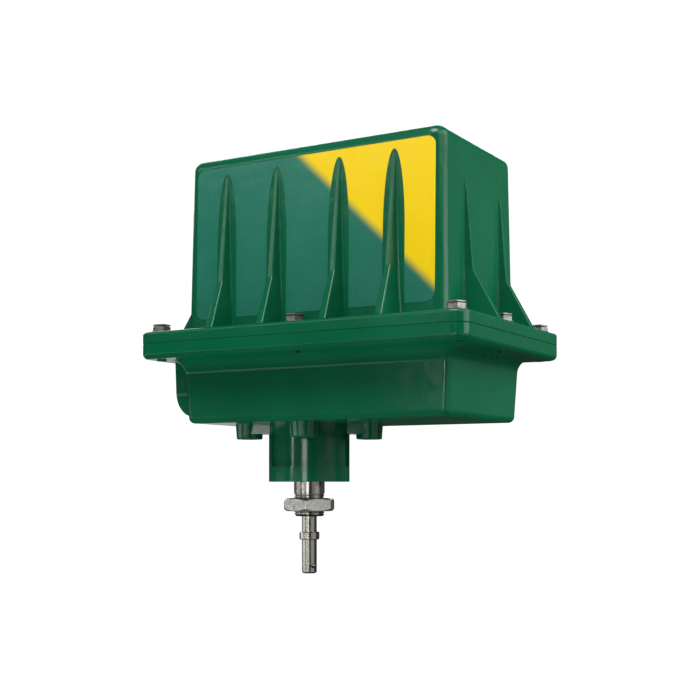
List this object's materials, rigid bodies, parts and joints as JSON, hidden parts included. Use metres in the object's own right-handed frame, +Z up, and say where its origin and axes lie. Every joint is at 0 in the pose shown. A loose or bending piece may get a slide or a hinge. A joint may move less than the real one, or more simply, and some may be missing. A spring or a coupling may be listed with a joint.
{
  "type": "electric valve actuator",
  "caption": "Electric linear valve actuator with a ribbed cast cover, flanged lower housing, round hub with threaded bush and lock nut, and a sliding stem.",
  "frame": {"origin": "on the stem axis, in the face of the hub that sits on the valve yoke", "axes": "+Z up along the stem through the housing, +X right along the housing's long side, +Y back, away from the decal"},
  "size_m": [0.299, 0.1906, 0.3409],
  "materials": {
    "cover_paint": "gloss",
    "housing_paint": "gloss",
    "hub_paint": "gloss",
    "stainless": "satin",
    "zinc": "satin",
    "seal_rubber": "matte",
    "bronze": "satin",
    "drive_steel": "satin",
    "plate_aluminium": "satin",
    "motor_black": "satin",
    "film": "gloss",
    "circuit_board": "satin",
    "component_black": "satin",
    "terminal_grey": "satin"
  },
  "bodies": {
    "housing": {"top_cover": "cover_paint", "lower_housing": "housing_paint", "cover_seal": "seal_rubber", "cover_bolts": "zinc", "cover_washers": "zinc", "pipe_plug": "zinc", "earth_screw": "stainless", "front_decal": "film", "hub": "hub_paint", "hub_bolts": "hub_paint", "hub_seal": "seal_rubber", "threaded_bush": "stainless", "stem_guide": "bronze", "stem_wiper": "seal_rubber", "guide_rod": "drive_steel", "bearing_cartridge": "drive_steel", "screw_bearings": "drive_steel", "bearing_cap": "drive_steel", "gear_plate": "plate_aluminium", "plate_screws": "zinc", "idler_shaft": "drive_steel", "plate_pillars": "plate_aluminium", "motor_plate": "plate_aluminium", "motor": "motor_black", "position_sensor": "component_black", "board_bracket": "plate_aluminium", "control_board": "circuit_board", "board_spacers": "plate_aluminium", "board_components": "component_black", "power_supply": "plate_aluminium", "terminal_block": "terminal_grey"},
    "drive_screw": {"ball_screw": "drive_steel", "screw_gear": "drive_steel", "screw_end_nut": "drive_steel"},
    "output_stem": {"stem": "stainless", "nut_carrier": "drive_steel", "ball_nut": "drive_steel", "guide_arm": "drive_steel"},
    "idler": {"idler_gears": "drive_steel"},
    "motor_rotor": {"motor_shaft": "drive_steel", "motor_pinion": "drive_steel"},
    "sensor_rotor": {"sensor_gear": "drive_steel"},
    "clamp_nut": {"lock_nut": "stainless"}
  },
  "joints": [
    {"name": "screw_spin", "type": "hinge", "parent": "housing", "child": "drive_screw", "pos_m": [0, 0, 0.129], "axis": [0, 0, 1], "range_deg": [-468, 900]},
    {"name": "stem_slide", "type": "slide", "parent": "housing", "child": "output_stem", "axis": [0, 0, 1], "range_m": [-0.0065, 0.0125]},
    {"name": "idler_spin", "type": "hinge", "parent": "housing", "child": "idler", "pos_m": [0.048, 0, 0.129], "axis": [0, 0, 1], "range_deg": [-2701, 1405]},
    {"name": "motor_spin", "type": "hinge", "parent": "housing", "child": "motor_rotor", "pos_m": [0.0885, 0, 0.129], "axis": [0, 0, 1], "range_deg": [-4013, 7716]},
    {"name": "sensor_spin", "type": "hinge", "parent": "housing", "child": "sensor_rotor", "pos_m": [-0.03394, 0.03394, 0.129], "axis": [0, 0, 1], "range_deg": [-2701, 1405]},
    {"name": "clamp_nut_slide", "type": "slide", "parent": "housing", "child": "clamp_nut", "axis": [0, 0, -1], "range_m": [-0.0025, 0.07]}
  ],
  "couplings": [
    {"joint": "stem_slide", "follows": "screw_spin", "m_per_rad": 0.0007957},
    {"joint": "idler_spin", "follows": "screw_spin", "ratio": -3},
    {"joint": "motor_spin", "follows": "screw_spin", "ratio": 8.5714},
    {"joint": "sensor_spin", "follows": "screw_spin", "ratio": -3}
  ]
}
